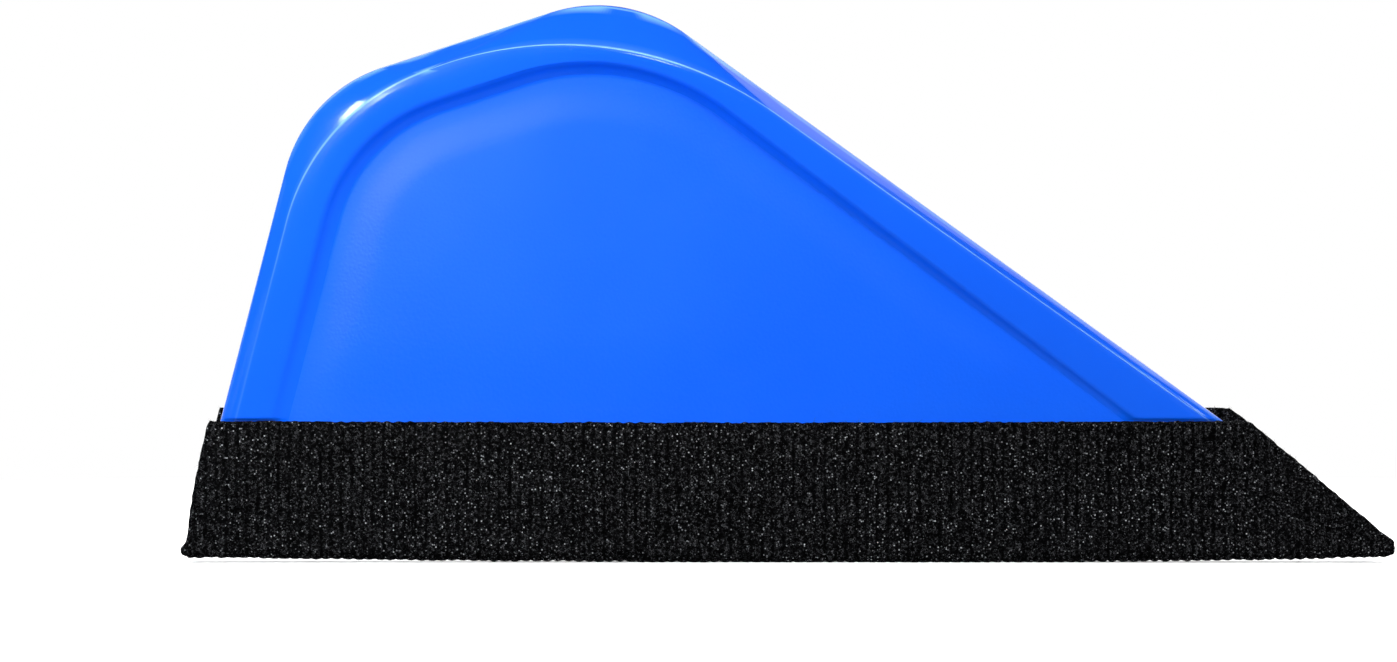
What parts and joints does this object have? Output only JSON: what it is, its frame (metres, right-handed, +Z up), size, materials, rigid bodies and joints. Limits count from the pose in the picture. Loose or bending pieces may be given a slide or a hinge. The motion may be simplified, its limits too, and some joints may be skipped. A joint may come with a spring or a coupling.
{
  "type": "felt-edged hand squeegee",
  "caption": "Rigid hand squeegee with a raised grip rim, a long sloping back to a pointed toe, and a black felt strip folded round its working edge.",
  "frame": {"origin": "middle of the footprint, on the underside of the folded felt", "axes": "+X along the working edge towards the pointed toe, +Y through the thickness towards the back face, +Z up from the working edge to the crown"},
  "size_m": [0.162, 0.008, 0.0744],
  "materials": {
    "moulded_plastic": "injection-moulded blue plastic, satin gloss on the rim, very finely textured web",
    "adhesive": "thin pale pressure-sensitive adhesive film, hidden between blade and felt",
    "knit_felt": "black ribbed knit felt with fine loose fibres, ribs square to the working edge"
  },
  "bodies": {
    "root": {"squeegee_body": "moulded_plastic", "adhesive_film": "adhesive", "felt_wrap": "knit_felt"}
  },
  "joints": []
}
